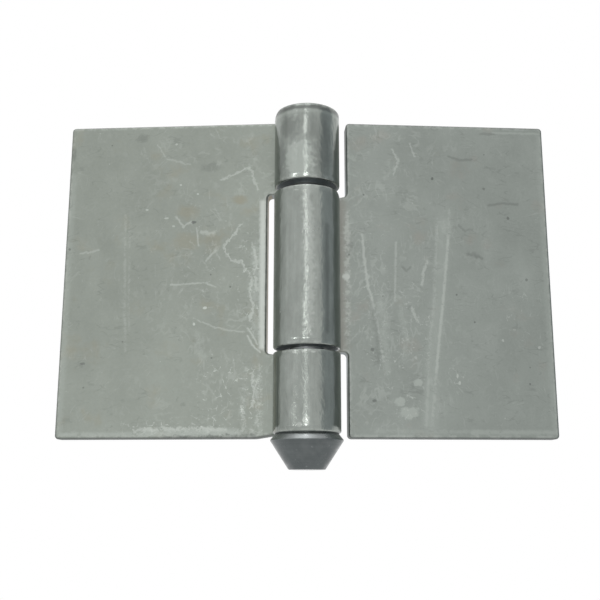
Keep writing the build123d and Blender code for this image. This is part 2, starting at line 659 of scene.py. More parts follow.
@dataclass(frozen=True)
class MillSteel:
    """Bare hot-rolled plate under a thin film of oil; where it is rolled round the pin it is burnished. Its
    walls and edge rounds are darkened, partly as painted shade, and painted lighter in the gaps; some of its
    marks are painted highlights, glints and shade.
    """

    name: str
    seed: float
    marks: Marks
    plate: Colour = (0.274, 0.299, 0.268)
    warm: Colour = (0.272, 0.256, 0.190)
    barrel: Colour = (0.284, 0.308, 0.286)
    # darker walls and edge rounds: partly the dull sheared steel, partly painted shade
    sheared: Colour = (0.104, 0.112, 0.112)
    # painted light: walls in the gaps and beside the slot, lighter than the other walls
    gap_wall_painted_light: Colour = (0.320, 0.350, 0.362)
    slot_wall_painted_light: Colour = (0.320, 0.350, 0.362)
    # bared metal, also used for painted highlights and glints
    bared: Colour = (0.500, 0.532, 0.498)
    # thinly oiled tone, also used for painted highlight bands
    wiped: Colour = (0.378, 0.411, 0.380)
    # stains and pits, also used for painted shade and shadow
    stain_and_shade: Colour = (0.120, 0.130, 0.122)
    roughness: float = 0.46
    coat: float = 0.35
    coat_roughness: float = 0.14
    relief: float = 0.55
    relief_depth: float = 0.00012

    def material(self) -> bpy.types.Material:
        """Builds the material.

        Returns:
            The finished material.
        """
        made = bpy.data.materials.new(self.name)
        bench = Bench.bare(made)
        sheet = Sheet.read(bench, self.seed)
        colour, height, film = self._plate(sheet)
        colour, height = self._barrel(sheet, colour, height)
        colour = self._marked(sheet, colour)
        colour, height = self._edges(sheet, colour, height)
        oiled = (0.15 + 0.9 * film.rise(0.48, 0.66)) * (1.0 - sheet.wall)
        surface = {
            "Base Color": colour,
            "Roughness": self.roughness + 0.16 * (film - 0.5) - 0.22 * sheet.burnished + 0.10 * sheet.wall,
            "Coat Weight": oiled * self.coat,
            "Coat Roughness": self.coat_roughness,
        }
        oiled_steel(bench, surface, height, self.relief, self.relief_depth)
        return made

    def _plate(self, sheet: Sheet) -> tuple[Wire, Wire, Wire]:
        """The mill surface: clouds, film, grain, torn smears, dark dashes, hairlines, specks and pits.

        Args:
            sheet: the leaf's surface.

        Returns:
            Colour, height and how thick the film of oil is.
        """
        bench, at = sheet.bench, sheet.at
        clouds = bench.noise(at, 0.035, detail=3.0, rough=0.55)
        running = bench.laid(at, middle=(31.0, 7.0), size=(9.0, 13.0, 9.0))
        film = bench.noise(running, 1.0, detail=4.0, rough=0.6)
        grain = bench.noise(at, 1.1, detail=3.0, rough=0.65)
        elsewhere = bench.moved(at, (70.0, 20.0, 0.0))
        warmth = bench.noise(elsewhere, 0.075, detail=3.0, rough=0.6).rise(0.56, 0.74)
        light = 1.0 + 0.24 * (clouds - 0.5) + 0.26 * (film - 0.5) + 0.14 * (grain - 0.5)
        colour = bench.scaled(bench.blend(warmth * 0.35, self.plate, self.warm), light)

        near_pin = 0.25 + 0.75 * bench.parts(at)[0].rise(80.0, 25.0)
        shake = sheet.shake(0.5)
        shaken, unsteady = sheet.shaken(shake, 2.2), sheet.shaken(shake, 0.8)
        torn = sheet.strokes(shaken, size=(6.5, 2.8), turns=(58.0, -20.0, 100.0), thin=0.060, patches=0.09)
        torn = torn * near_pin
        dashes = sheet.strokes(unsteady, size=(8.0, 2.6), turns=(2.0, -9.0), thin=0.030, patches=0.13)
        hairs = sheet.strokes(at, size=(18.0, 1.9), turns=(12.0, 88.0, -52.0), thin=0.012, patches=0.12)
        specks = sheet.dots(shift=(0.0, 0.0), scale=0.22, share=0.30)
        pits = sheet.dots(shift=(57.0, 23.0), scale=0.15, share=0.25)
        colour = bench.blend(dashes * 0.22 * sheet.front, colour, self.stain_and_shade)
        colour = bench.blend(torn * 0.19, colour, self.bared)
        colour = bench.blend(hairs * 0.15, colour, self.bared)
        colour = bench.blend(specks * 0.40 * sheet.front, colour, self.bared)
        colour = bench.blend(pits * 0.65, colour, self.stain_and_shade)
        return colour, 0.5 * grain + 0.5 * clouds + 0.4 * film - 1.0 * pits, film

    def _barrel(self, sheet: Sheet, colour: Wire, height: Wire) -> tuple[Wire, Wire]:
        """Adds the burnished outside of the rolled tongues: bands along the pin, drips and turned-in ends.

        Args:
            sheet: the leaf's surface.
            colour: colour so far.
            height: height so far.

        Returns:
            Colour and height with the rolls.
        """
        bench, at = sheet.bench, sheet.at
        upright = bench.laid(at, middle=(4.0, 8.0), size=(1.8, 28.0, 1.0))
        bands = bench.noise(upright, 1.0, detail=2.0, rough=0.5)
        hanging = bench.laid(at, middle=(2.0, 6.0), size=(4.5, 10.0, 1.0))
        drips = bench.noise(hanging, 1.0, detail=3.0, rough=0.6)
        grain = bench.noise(at, 1.6, detail=2.0, rough=0.6)
        light = 1.0 + 0.35 * (bands - 0.5) + 0.5 * (drips - 0.5) + 0.10 * (grain - 0.5)
        colour = bench.blend(sheet.burnished, colour, bench.scaled(self.barrel, light))
        wide = bench.laid(at, middle=(6.0, 2.0), size=(6.0, 11.0, 1.0))
        wave = bench.noise(wide, 1.0, detail=3.0, rough=0.5)
        slanted = bench.laid(at, middle=(1.0, 9.0), size=(1.6, 3.2, 1.0), turn=24.0)
        ripple = bench.noise(slanted, 1.0, detail=2.0, rough=0.5)
        turned_in = sheet.edge.rise(2.6, 0.2)
        smooth = 5.0 * wave + 1.5 * ripple + 0.25 * grain - 7.0 * turned_in
        return colour, height + sheet.burnished * (smooth - height)

    def _marked(self, sheet: Sheet, colour: Wire) -> Wire:
        """Adds this leaf's own marks, on the front sheet and on the outside of a roll; some of them are
        painted highlights, glints and shade.

        Args:
            sheet: the leaf's surface.
            colour: colour so far.

        Returns:
            Colour with the marks.
        """
        bench = sheet.bench
        seen = sheet.front.most(sheet.burnished)
        flat = bench.vector("MULTIPLY", sheet.at, (1.0, 1.0, 0.0))
        shake = sheet.shake(0.45)
        elsewhere = bench.moved(sheet.at, (17.0, 3.0, 0.0))
        gaps = bench.noise(elsewhere, 0.50, detail=4.0, rough=0.8)
        ground = Ground(bench, flat, shake, gaps)
        # the pale, dark and bright tones also serve painted highlights, glints and shade
        tones = {
            Hit.WARM: self.warm,
            Hit.PALE: self.wiped,
            Hit.NICKED: self.bared,
            Hit.DARK: self.stain_and_shade,
            Hit.BRIGHT: self.bared,
        }
        for hit, tone in tones.items():
            share = reduce(Wire.most, (mark.share(ground) for mark in self.marks[hit])) * seen
            if hit is Hit.NICKED:
                share = share * sheet.nicks()
            colour = bench.blend(share, colour, tone)
        return colour

    def _edges(self, sheet: Sheet, colour: Wire, height: Wire) -> tuple[Wire, Wire]:
        """Adds the sheared walls, burnished by the blade and then torn, and the dark rounds beside them. The
        walls' dark tone is partly painted shade, the rounds' dark band is painted shade, the light band along
        the edges is partly wear and partly a painted highlight, and in the gaps and beside the slot the walls
        and rounds are painted lighter.

        Args:
            sheet: the leaf's surface.
            colour: colour so far.
            height: height so far.

        Returns:
            Colour and height with the edges.
        """
        bench, at, face, edge, wall = sheet.bench, sheet.at, sheet.face, sheet.edge, sheet.wall
        ragged = bench.noise(bench.moved(at, (13.0, 29.0, 0.0)), 0.35, detail=3.0, rough=0.6)
        # lighter along the edges: partly wear, partly a painted highlight on the rounded edge
        worn_and_highlight = (edge + 2.4 * (ragged - 0.5)).rise(2.0, 0.8)
        colour = bench.blend(worn_and_highlight * 0.35 * ragged.rise(0.42, 0.62), colour, self.bared)
        # painted shade: a dark band on the rounded edges beside the walls, weaker in the gaps
        rounded = edge.rise(0.75, 0.30) * (1.0 - wall)
        across = bench.laid(at, middle=(0.0, 0.0), size=(0.45, 0.45, 50.0))
        teeth = bench.noise(across, 1.0, detail=2.0, rough=0.7)
        out, up, _ = bench.parts(at)
        # painted light: in the gaps and beside the slot the rounds and walls are painted lighter
        beside_slot = out.rise(SIZES.slot_edge + 0.8, SIZES.slot_edge + 0.2)
        in_gap = beside_slot * abs(up).rise(SIZES.gap_zone, SIZES.upper_face)
        colour = bench.blend(rounded * (0.60 - 0.40 * in_gap), colour, self.sheared)
        burnish = face.rise(0.30, 0.42) * face.rise(0.86, 0.74)
        on_plate = out.rise(SIZES.slot_edge - 2.0, SIZES.slot_edge - 1.0)
        inner = bench.blend(on_plate, self.gap_wall_painted_light, self.slot_wall_painted_light)
        tone = bench.blend(in_gap, bench.blend(burnish * 0.34, self.sheared, self.wiped), inner)
        colour = bench.blend(wall, colour, bench.scaled(tone, 0.7 + 0.6 * teeth))
        return colour, height + wall * (1.6 * teeth - height)


@dataclass(frozen=True)
class TurnedSteel:
    """A lathe-turned pin, with rings from the tool and a film of oil; the head's taper is painted darker as
    shade, and the shank, seen in the gaps, is painted lighter.
    """

    name: str
    axis: Place
    # painted shade: the head's taper, darker than the chamfer above it
    cone_painted_shade: Colour = (0.112, 0.125, 0.126)
    bevel: Colour = (0.265, 0.284, 0.284)
    # painted light: the shank, seen in the gaps, lighter than the rest of the steel
    shank_painted_light: Colour = (0.560, 0.590, 0.590)
    bright: Colour = (0.33, 0.35, 0.35)
    roughness: float = 0.30
    coat: float = 0.2
    coat_roughness: float = 0.12
    relief: float = 0.5
    relief_depth: float = 0.00008

    def material(self) -> bpy.types.Material:
        """Builds the material.

        Returns:
            The finished material.
        """
        made = bpy.data.materials.new(self.name)
        bench = Bench.bare(made)
        place = bench.out("ShaderNodeTexCoord", output="Object")
        at = bench.moved(place, (-self.axis[0] / MM, -self.axis[1] / MM, 0.0), 1.0 / MM)
        up = bench.parts(at)[2]
        radius = bench.vector("LENGTH", bench.vector("MULTIPLY", at, (1.0, 1.0, 0.0)), output="Value")
        ringed = bench.out("ShaderNodeCombineXYZ", {}, {"X": radius, "Z": up})
        rings = bench.noise(ringed, 3.2, detail=2.0, rough=0.6)
        wide_rings = bench.noise(bench.moved(ringed, (5.0, 0.0, 2.0)), 0.9, detail=2.0, rough=0.5)
        clouds = bench.noise(at, 0.16, detail=3.0, rough=0.55)
        film = bench.noise(bench.moved(at, (20.0, 3.0, 9.0)), 0.22, detail=3.0, rough=0.6)
        scuffs = bench.noise(bench.moved(at, (8.0, 8.0, 8.0)), 0.8, detail=3.0, rough=0.7).rise(0.62, 0.72)

        light = 1.0 + 0.18 * (rings - 0.5) + 0.25 * (wide_rings - 0.5) + 0.45 * (clouds - 0.5)
        seat = SIZES.lower_foot
        rim = seat - SIZES.bevel_height
        # the shank inside the barrel is painted light, and the taper below the chamfer painted shade
        in_barrel = up.rise(seat - 0.1, seat + 0.1) * up.rise(SIZES.gap_zone, SIZES.upper_face)
        tone = bench.blend(up.rise(rim - 0.2, rim + 0.3), self.cone_painted_shade, self.bevel)
        tone = bench.blend(in_barrel, tone, self.shank_painted_light)
        surface = {
            "Base Color": bench.blend(scuffs * 0.35, bench.scaled(tone, light), self.bright),
            "Roughness": self.roughness + 0.20 * (film - 0.5),
            "Coat Weight": self.coat + 0.5 * film.rise(0.5, 0.65),
            "Coat Roughness": self.coat_roughness,
        }
        height = 0.7 * rings + 0.8 * wide_rings + 0.5 * film
        oiled_steel(bench, surface, height, self.relief, self.relief_depth)
        return made


@dataclass(frozen=True)
class Corner:
    """A corner of a flat outline, in millimetres, with its round."""

    x: float
    y: float
    round: float = 0.0


class Outline:
    """A closed flat line, counter-clockwise, with rounded corners and evenly divided runs."""

    def __init__(self, corners: Sequence[Corner], step: float) -> None:
        """Rounds the corners and divides the runs.

        Args:
            corners: corners in order.
            step: longest distance between two points on a run, in millimetres.
        """
        bends = [self._bend(corners, number) for number in range(len(corners))]
        points: list[Vector] = []
        for bend, after in zip(bends, [*bends[1:], bends[0]]):
            points += bend
            parts = max(1, math.ceil((after[0] - bend[-1]).length / step))
            points += [bend[-1].lerp(after[0], part / parts) for part in range(1, parts)]
        self.points = points

    @staticmethod
    def _bend(corners: Sequence[Corner], number: int) -> list[Vector]:
        """Rounds one corner, about a centre on the line that halves it.

        Args:
            corners: corners in order.
            number: which of them.

        Returns:
            The points of its arc, or the corner itself where it has no round.
        """
        corner = corners[number]
        here = Vector((corner.x, corner.y))
        if not corner.round:
            return [here]
        before, after = corners[number - 1], corners[(number + 1) % len(corners)]
        back = (Vector((before.x, before.y)) - here).normalized()
        ahead = (Vector((after.x, after.y)) - here).normalized()
        half = back.angle(ahead) / 2
        centre = here + (back + ahead).normalized() * (corner.round / math.sin(half))
        first = here + back * (corner.round / math.tan(half)) - centre
        last = here + ahead * (corner.round / math.tan(half)) - centre
        sweep = first.angle_signed(last)
        arc = []
        for part in range(BEND_STEPS + 1):
            angle = -sweep * part / BEND_STEPS
            cos, sin = math.cos(angle), math.sin(angle)
            arc.append(centre + Vector((first.x * cos - first.y * sin, first.x * sin + first.y * cos)))
        return arc

    def inward(self, distances: Sequence[float]) -> list[Vector]:
        """Moves the line inwards.

        Args:
            distances: how far, at each point.

        Returns:
            The moved points.
        """
        moved = []
        count = len(self.points)
        for number, point in enumerate(self.points):
            into = (point - self.points[number - 1]).normalized()
            away = (self.points[(number + 1) % count] - point).normalized()
            inner = Vector((-into.y - away.y, into.x + away.x)).normalized()
            mitre = max(LEAST_MITRE, inner.dot(Vector((-into.y, into.x))))
            moved.append(point + inner * (distances[number] / mitre))
        return moved


class Shape:
    """A Geometry Nodes tree with named inputs, which makes one piece from a starting mesh."""

    def __init__(self, name: str) -> None:
        """Starts the tree with the geometry that it is given.

        Args:
            name: name of the tree.
        """
        self.tree = bpy.data.node_groups.new(name, "GeometryNodeTree")
        self.bench = Bench(self.tree)
        for way in ("INPUT", "OUTPUT"):
            self.tree.interface.new_socket("Geometry", in_out=way, socket_type="NodeSocketGeometry")
        self.values: dict[str, Any] = {}
        self.entry = self.bench.node("NodeGroupInput")

    @property
    def geometry(self) -> Wire:
        """The mesh that the tree is given."""
        return Wire(self.bench, self.entry.outputs[0])

    def named(self, name: str, kind: str, value: Any) -> Wire:
        """Adds a named input, and keeps the value that it gets.

        Args:
            name: name of the size or direction.
            kind: type of its socket: Float, Int or Vector.
            value: its value.

        Returns:
            The input's wire.
        """
        socket = self.tree.interface.new_socket(name, in_out="INPUT", socket_type=f"NodeSocket{kind}")
        self.values[socket.identifier] = value
        return Wire(self.bench, Bench.find(self.entry.outputs, socket.identifier))

    def make(
        self, name: str, start: bpy.types.Mesh, result: Wire, material: bpy.types.Material
    ) -> bpy.types.Object:
        """Ends the tree, runs it once and keeps its result as a plain mesh.

        Args:
            name: name of the piece.
            start: mesh that the tree is given.
            result: geometry that the tree made.
            material: finish of the piece.

        Returns:
            The piece, at the origin.
        """
        smooth = self.bench.out("GeometryNodeSetShadeSmooth", {}, {"Geometry": result})
        real = self.bench.out("GeometryNodeRealizeInstances", {}, {"Geometry": smooth})
        dressed = self.bench.out("GeometryNodeSetMaterial", {}, {"Geometry": real, "Material": material})
        self.bench.node("NodeGroupOutput", {}, {"Geometry": dressed})
        maker = bpy.data.objects.new(f"{name}_maker", start)
        bpy.context.scene.collection.objects.link(maker)
        modifier = maker.modifiers.new("shape", "NODES")
        modifier.node_group = self.tree
        for identifier, value in self.values.items():
            modifier[identifier] = value
        graph = bpy.context.evaluated_depsgraph_get()
        mesh = bpy.data.meshes.new_from_object(maker.evaluated_get(graph), depsgraph=graph)
        mesh.name = name
        maker.modifiers.remove(modifier)
        bpy.data.objects.remove(maker)
        piece = bpy.data.objects.new(name, mesh)
        bpy.context.scene.collection.objects.link(piece)
        return piece


@dataclass
class RolledLeaf(ABC):
    """A leaf: a flat blank with sheared edges, whose tongues a node tree rolls round the pin. Millimetres."""

    node: str
    body: str
    slot: str
    finish: MillSteel
    axis: Vector
    out: Vector
    back: Vector
    bore: float
    outer_round: float
    cell: float = 1.25  # of the sheets' mesh
    guard: float = 0.25  # from a rounded edge to the ring that keeps its shading off the sheet

    @property
    def barrel(self) -> float:
        """Outer radius of the rolled tongues."""
        return self.bore + SIZES.plate

    @property
    def roll(self) -> float:
        """Radians that a tongue is rolled through, until its end comes near the leaf's front."""
        return math.radians(270.0) + math.asin((self.bore - SIZES.seam) / self.barrel)

    @property
    def tongue_end(self) -> float:
        """Where the tongues end on the flat blank."""
        return -self.barrel * self.roll

    @abstractmethod
    def corners(self) -> list[Corner]:
        """Corners of the blank's outline, out along the leaf and up the pin, with the tongues laid flat."""

    def build(self) -> bpy.types.Object:
        """Makes the leaf in the place of its CAD node.

        Returns:
            The finished piece.
        """
        piece = self._rolled(self._blank())
        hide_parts(self.node)
        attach(piece, self.body)
        return piece

    def _tongue_top(self, top: float) -> list[Corner]:
        """The rounded upper corner of a tongue's end, which falls away as the tongue comes round.

        Args:
            top: height of the tongue's upper edge.

        Returns:
            The corners of that line.
        """
        start = math.radians(180.0 + SIZES.tongue_round_from)
        fall = []
        for part in range(TONGUE_STEPS + 1):
            angle = (self.roll - start) * part / TONGUE_STEPS
            run = self.barrel * math.sin(angle)
            drop = SIZES.tongue_round - math.sqrt(SIZES.tongue_round**2 - run**2)
            fall.append(Corner(-self.barrel * (start + angle), top - drop))
        return fall

    def _edge_rounds(self, points: Sequence[Vector]) -> list[float]:
        """The edge's round at each point: that of the gaps beside a slot, and the outer one elsewhere."""
        beside = [abs(point.y) < SIZES.gap_zone and point.x < SIZES.slot_edge + 1.0 for point in points]
        return [SIZES.edge_round if hit else self.outer_round for hit in beside]

    def _blank(self) -> bpy.types.Mesh:
        """The flat blank: a front and a back sheet with rounded edges, and the sheared wall between.

        Returns:
            Its mesh, x out along the leaf, y towards the weld face and z up the pin.
        """
        outline = Outline(self.corners(), self.cell)
        rounds = self._edge_rounds(outline.points)
        flat, sunk, faces = self._sheet(outline, rounds)
        border = np.array([tuple(point) for point in outline.points])
        from_edge = [float(np.hypot(*(border - np.array(tuple(point))).T).min()) for point in flat]

        rows: list[tuple[float, ...]] = []
        for side, level, way in ((1.0, self.bore, 1.0), (0.0, self.barrel, -1.0)):
            for point, drop, distance in zip(flat, sunk, from_edge):
                rows.append((point.x, level + way * drop, point.y, side, distance))
        for share in WALL_SHARES:
            for point, r in zip(outline.points, rounds):
                depth = self.bore + r + (SIZES.plate - 2 * r) * share
                rows.append((point.x, depth, point.y, 1.0 - share, 0.0))
        table = np.array(rows)

        sheet, count = len(flat), len(outline.points)
        all_faces = faces + [tuple(sheet + corner for corner in reversed(face)) for face in faces]
        rings = [0, *(2 * sheet + count * number for number in range(len(WALL_SHARES))), sheet]
        for upper, lower in zip(rings, rings[1:]):
            for ring in range(count):
                after = (ring + 1) % count
                all_faces.append((upper + after, upper + ring, lower + ring, lower + after))
        if self.out.cross(self.back).z < 0:
            all_faces = [tuple(reversed(face)) for face in all_faces]

        mesh = bpy.data.meshes.new(f"{self.node}_blank")
        mesh.from_pydata([tuple(place) for place in table[:, :3] * MM], [], all_faces)
        for column, name in ((3, FACE), (4, EDGE)):
            attribute = mesh.attributes.new(name, "FLOAT", "POINT")
            attribute.data.foreach_set("value", table[:, column].tolist())
        flat_map = mesh.uv_layers.new(name=LAID_FLAT)
        corners = np.empty(len(mesh.loops), dtype=np.int32)
        mesh.loops.foreach_get("vertex_index", corners)
        flat_map.uv.foreach_set("vector", table[corners][:, [0, 2]].ravel())
        return mesh

    def _sheet(
        self, outline: Outline, rounds: Sequence[float]
    ) -> tuple[list[Vector], list[float], list[tuple[int, ...]]]:
        """One sheet of the blank: rings down its rounded edge, and a filled middle.

        Args:
            outline: the blank's outline.
            rounds: the edge's round at each of its points.

        Returns:
            The sheet's points, how far each is sunk below it, and its faces.
        """
        count = len(outline.points)
        turns = [math.radians(angle) for angle in ROUND_TURNS]
        insets = [[r * (1 - math.cos(turn)) for r in rounds] for turn in turns]
        drops = [[r * (1 - math.sin(turn)) for r in rounds] for turn in turns]
        insets.append([r + self.guard for r in rounds])
        drops.append([0.0] * count)
        loops = [outline.inward(distances) for distances in insets]
        inner, faces = self._filled(loops[-1], len(loops) - 1)
        for ring in range(count):
            after = (ring + 1) % count
            for loop in range(len(loops) - 1):
                low, high = loop * count, (loop + 1) * count
                faces.append((low + ring, low + after, high + after, high + ring))
        flat = [point for loop in loops for point in loop] + inner
        sunk = [drop for ring in drops for drop in ring] + [0.0] * len(inner)
        return flat, sunk, faces

    def _filled(self, rim: Sequence[Vector], loop: int) -> tuple[list[Vector], list[tuple[int, ...]]]:
        """Fills the innermost loop of a sheet with evenly spaced points.

        Args:
            rim: the loop's points.
            loop: how many loops come before it, which its points are numbered after.

        Returns:
            The new points, and faces numbered over the loops and then the new points.
        """
        here = np.array([tuple(point) for point in rim])
        ahead = np.roll(here, -1, 0)
        low, high = here.min(0), here.max(0)
        across = np.arange(low[0] + self.cell / 2, high[0], self.cell)
        upward = np.arange(low[1] + self.cell / 2, high[1], self.cell)
        grid = np.stack(np.meshgrid(across, upward), -1).reshape(-1, 2)
        x, y = grid[:, None, 0], grid[:, None, 1]
        rise = ahead[:, 1] - here[:, 1]
        rise = np.where(np.abs(rise) < LEVEL, LEVEL, rise)
        meets = (y - here[:, 1]) / rise * (ahead[:, 0] - here[:, 0]) + here[:, 0]
        crosses = (here[:, 1] > y) != (ahead[:, 1] > y)
        inside = (crosses & (x < meets)).sum(1) % 2 == 1
        apart = np.hypot(x - here[:, 0], y - here[:, 1]).min(1)
        inner = [Vector(point) for point in grid[inside & (apart > CLEAR_OF_RIM * self.cell)]]
        count = len(rim)
        rim_edges = [(number, (number + 1) % count) for number in range(count)]
        _, _, triangles, origins, _, _ = delaunay_2d_cdt([*rim, *inner], rim_edges, [], 1, TINY)
        numbers = [loop * count + origin[0] for origin in origins]
        return inner, [tuple(numbers[corner] for corner in triangle) for triangle in triangles]

    def _rolled(self, blank: bpy.types.Mesh) -> bpy.types.Object:
        """Rolls the blank's tongues round the pin and sets the leaf in its place.

        Args:
            blank: the flat blank.

        Returns:
            The piece, with the result as its plain mesh.
        """
        shape = Shape(f"{self.node}_roll")
        radius = shape.named("Barrel radius", "Float", self.barrel * MM)
        axis = shape.named("Pin axis", "Vector", tuple(self.axis))
        out = shape.named("Out along the leaf", "Vector", tuple(self.out))
        back = shape.named("Towards the weld face", "Vector", tuple(self.back))
        bench = shape.bench
        along, apart, up = bench.parts(bench.out("GeometryNodeInputPosition"))
        turn = (-along).most(0.0) / radius
        x = along.most(0.0) - bench.math("SINE", turn) * apart
        y = bench.math("COSINE", turn) * apart
        raised = bench.out("ShaderNodeCombineXYZ", {}, {"Z": up})
        moved = bench.vector("ADD", bench.scaled(out, x), bench.scaled(back, y))
        moved = bench.vector("ADD", bench.vector("ADD", moved, raised), axis)
        kept = bench.out(
            "GeometryNodeStoreNamedAttribute",
            {"data_type": "FLOAT", "domain": "POINT"},
            {"Geometry": shape.geometry, "Name": ROLL, "Value": turn},
        )
        set_in_place = bench.out("GeometryNodeSetPosition", {}, {"Geometry": kept, "Position": moved})
        return shape.make(f"{self.node}_rolled", blank, set_in_place, self.finish.material())


class FixedLeaf(RolledLeaf):
    """The leaf with the upper and the lower knuckle, which hold the pin."""

    def __init__(self, finish: MillSteel, axis: Vector) -> None:
        """Sets the leaf to the left of the pin, with its weld face square to the view.

        Args:
            finish: its steel.
            axis: the pin's axis, in metres.
        """
        super().__init__(
            node="fixed_leaf",
            body="fixed",
            slot="fixed_leaf_steel",
            finish=finish,
            axis=axis,
            out=Vector((-1.0, 0.0, 0.0)),
            back=Vector((0.0, 1.0, 0.0)),
            bore=SIZES.fixed_bore,
            outer_round=SIZES.barrel_round,
        )

    def corners(self) -> list[Corner]:
        """A plate with a tongue above and below its slot; the lower one widens, and its foot is trimmed.

        Returns:
            The outline's corners.
        """
        half = SIZES.half_height
        return [
            Corner(SIZES.leaf_reach, -half, SIZES.leaf_corner),
            Corner(SIZES.leaf_reach, half, SIZES.leaf_corner),
            *self._tongue_top(half),
            Corner(self.tongue_end, SIZES.upper_face),
            Corner(SIZES.slot_edge, SIZES.upper_face, SIZES.slot_corner),
            Corner(SIZES.slot_edge, SIZES.lower_face + SIZES.fixed_flare, SIZES.slot_corner),
            Corner(SIZES.flare_from, SIZES.lower_face, SIZES.bend_round),
            Corner(self.tongue_end, SIZES.lower_face),
            Corner(self.tongue_end, SIZES.lower_foot),
            Corner(SIZES.trim_from - SIZES.trim_run, SIZES.lower_foot, SIZES.bend_round),
            Corner(SIZES.trim_from, -half, SIZES.bend_round),
        ]


class MovingLeaf(RolledLeaf):
    """The leaf with the middle knuckle, which turns on the pin."""

    def __init__(self, finish: MillSteel, axis: Vector) -> None:
        """Sets the leaf to the right of the pin, folded back.

        Args:
            finish: its steel.
            axis: the pin's axis, in metres.
        """
        fold_back = math.radians(SIZES.fold_back)
        super().__init__(
            node="moving_leaf",
            body="moving",
            slot="moving_leaf_steel",
            finish=finish,
            axis=axis,
            out=Vector((math.cos(fold_back), math.sin(fold_back), 0.0)),
            back=Vector((-math.sin(fold_back), math.cos(fold_back), 0.0)),
            bore=SIZES.moving_bore,
            outer_round=SIZES.edge_round,
        )

    def corners(self) -> list[Corner]:
        """A plate with one tongue between two notches, which widens at the top to the plate.

        Returns:
            The outline's corners.
        """
        half = SIZES.half_height
        return [
            Corner(SIZES.leaf_reach, -half, SIZES.leaf_corner),
            Corner(SIZES.leaf_reach, half, SIZES.leaf_corner),
            Corner(SIZES.slot_edge, half, SIZES.leaf_corner),
            Corner(SIZES.slot_edge, SIZES.middle_top + SIZES.moving_flare, SIZES.slot_corner),
            Corner(SIZES.flare_from, SIZES.middle_top, SIZES.bend_round),
            *self._tongue_top(SIZES.middle_top),
            Corner(self.tongue_end, SIZES.middle_foot),
            Corner(SIZES.slot_edge, SIZES.middle_foot, SIZES.slot_corner),
            Corner(SIZES.slot_edge, -half, SIZES.leaf_corner),
        ]


@dataclass
class HeadedPin:
    """The pin: a profile that a node tree turns round its axis. Millimetres."""

    node: str
    body: str
    slot: str
    finish: TurnedSteel
    axis: Vector
    steps: int = 96  # round the axis
    least_round: float = 0.15  # of the edges that have no round of their own

    def build(self) -> bpy.types.Object:
        """Makes the pin in the place of its CAD node.

        Returns:
            The finished piece.
        """
        piece = self._turned(self._profile())
        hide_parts(self.node)
        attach(piece, self.body)
        return piece

    def _profile(self) -> bpy.types.Mesh:
        """Half of the pin's section, from the tip's middle up to the upper end's.

        Returns:
            A line of vertices, x out from the axis and z up it.
        """
        radius, head, tip = SIZES.pin_diameter / 2, SIZES.head_diameter / 2, SIZES.tip_diameter / 2
        seat, top = SIZES.lower_foot, SIZES.half_height - SIZES.pin_recess
        foot = seat - SIZES.head_height
        corners = [
            Corner(0.0, foot),
            Corner(tip, foot, SIZES.tip_round),
            Corner(head, seat - SIZES.bevel_height, SIZES.rim_round),
            Corner(head - SIZES.bevel_width, seat, self.least_round),
            Corner(radius, seat, self.least_round),
            Corner(radius, top - SIZES.pin_chamfer, self.least_round),
            Corner(radius - SIZES.pin_chamfer, top, self.least_round),
            Corner(0.0, top),
        ]
        section = [point for point in Outline(corners, PROFILE_STEP).points if point.x > TINY]
        line = [Vector((0.0, foot)), *section, Vector((0.0, top))]
        mesh = bpy.data.meshes.new(f"{self.node}_profile")
        places = [(point.x * MM, 0.0, point.y * MM) for point in line]
        mesh.from_pydata(places, [(number, number + 1) for number in range(len(line) - 1)], [])
        return mesh

    def _turned(self, profile: bpy.types.Mesh) -> bpy.types.Object:
        """Turns the profile round the pin's axis.

        Args:
            profile: line of vertices, x out from the axis and z up it.

        Returns:
            The piece, with the result as its plain mesh.
        """
        shape = Shape(f"{self.node}_turn")
        steps = shape.named("Steps round", "Int", self.steps)
        axis = shape.named("Pin axis", "Vector", tuple(self.axis))
        bench = shape.bench
        points = bench.out(
            "GeometryNodeAttributeDomainSize",
            {"component": "MESH"},
            {"Geometry": shape.geometry},
            "Point Count",
        )
        grid = {"Vertices X": steps + 1, "Vertices Y": points}
        sheet = bench.out("GeometryNodeMeshGrid", {}, grid, "Mesh")
        number = bench.out("GeometryNodeInputIndex")
        step = bench.math("FLOOR", number / points)
        along = number - step * points
        place = bench.out(
            "GeometryNodeSampleIndex",
            {"data_type": "FLOAT_VECTOR", "domain": "POINT"},
            {"Geometry": shape.geometry, "Value": bench.out("GeometryNodeInputPosition"), "Index": along},
        )
        out, _, up = bench.parts(place)
        turn = step / steps * math.tau
        round_axis = {"X": out * bench.math("COSINE", turn), "Y": out * bench.math("SINE", turn), "Z": up}
        moved = bench.vector("ADD", bench.out("ShaderNodeCombineXYZ", {}, round_axis), axis)
        turned = bench.out("GeometryNodeSetPosition", {}, {"Geometry": sheet, "Position": moved})
        closed = bench.out("GeometryNodeMergeByDistance", {}, {"Geometry": turned, "Distance": TINY})
        return shape.make(f"{self.node}_turned", profile, closed, self.finish.material())


def heading(azimuth: float, elevation: float) -> Vector:
    """The direction from the object to a viewer at this azimuth and elevation, in degrees."""
    a, e = math.radians(azimuth), math.radians(elevation)
    return Vector((math.sin(a) * math.cos(e), -math.cos(a) * math.cos(e), math.sin(e)))


def stage_sheet(name: str, corners: Sequence[Vector], material: bpy.types.Material) -> bpy.types.Object:
    """Adds a flat sheet to the stage.

    Args:
        name: its name.
        corners: its four corners, in metres.
        material: its finish.

    Returns:
        The sheet.
    """
    mesh = bpy.data.meshes.new(name)
    mesh.from_pydata([tuple(corner) for corner in corners], [], [(0, 1, 2, 3)])
    mesh.materials.append(material)
    sheet = bpy.data.objects.new(name, mesh)
    bpy.context.scene.collection.objects.link(sheet)
    return sheet


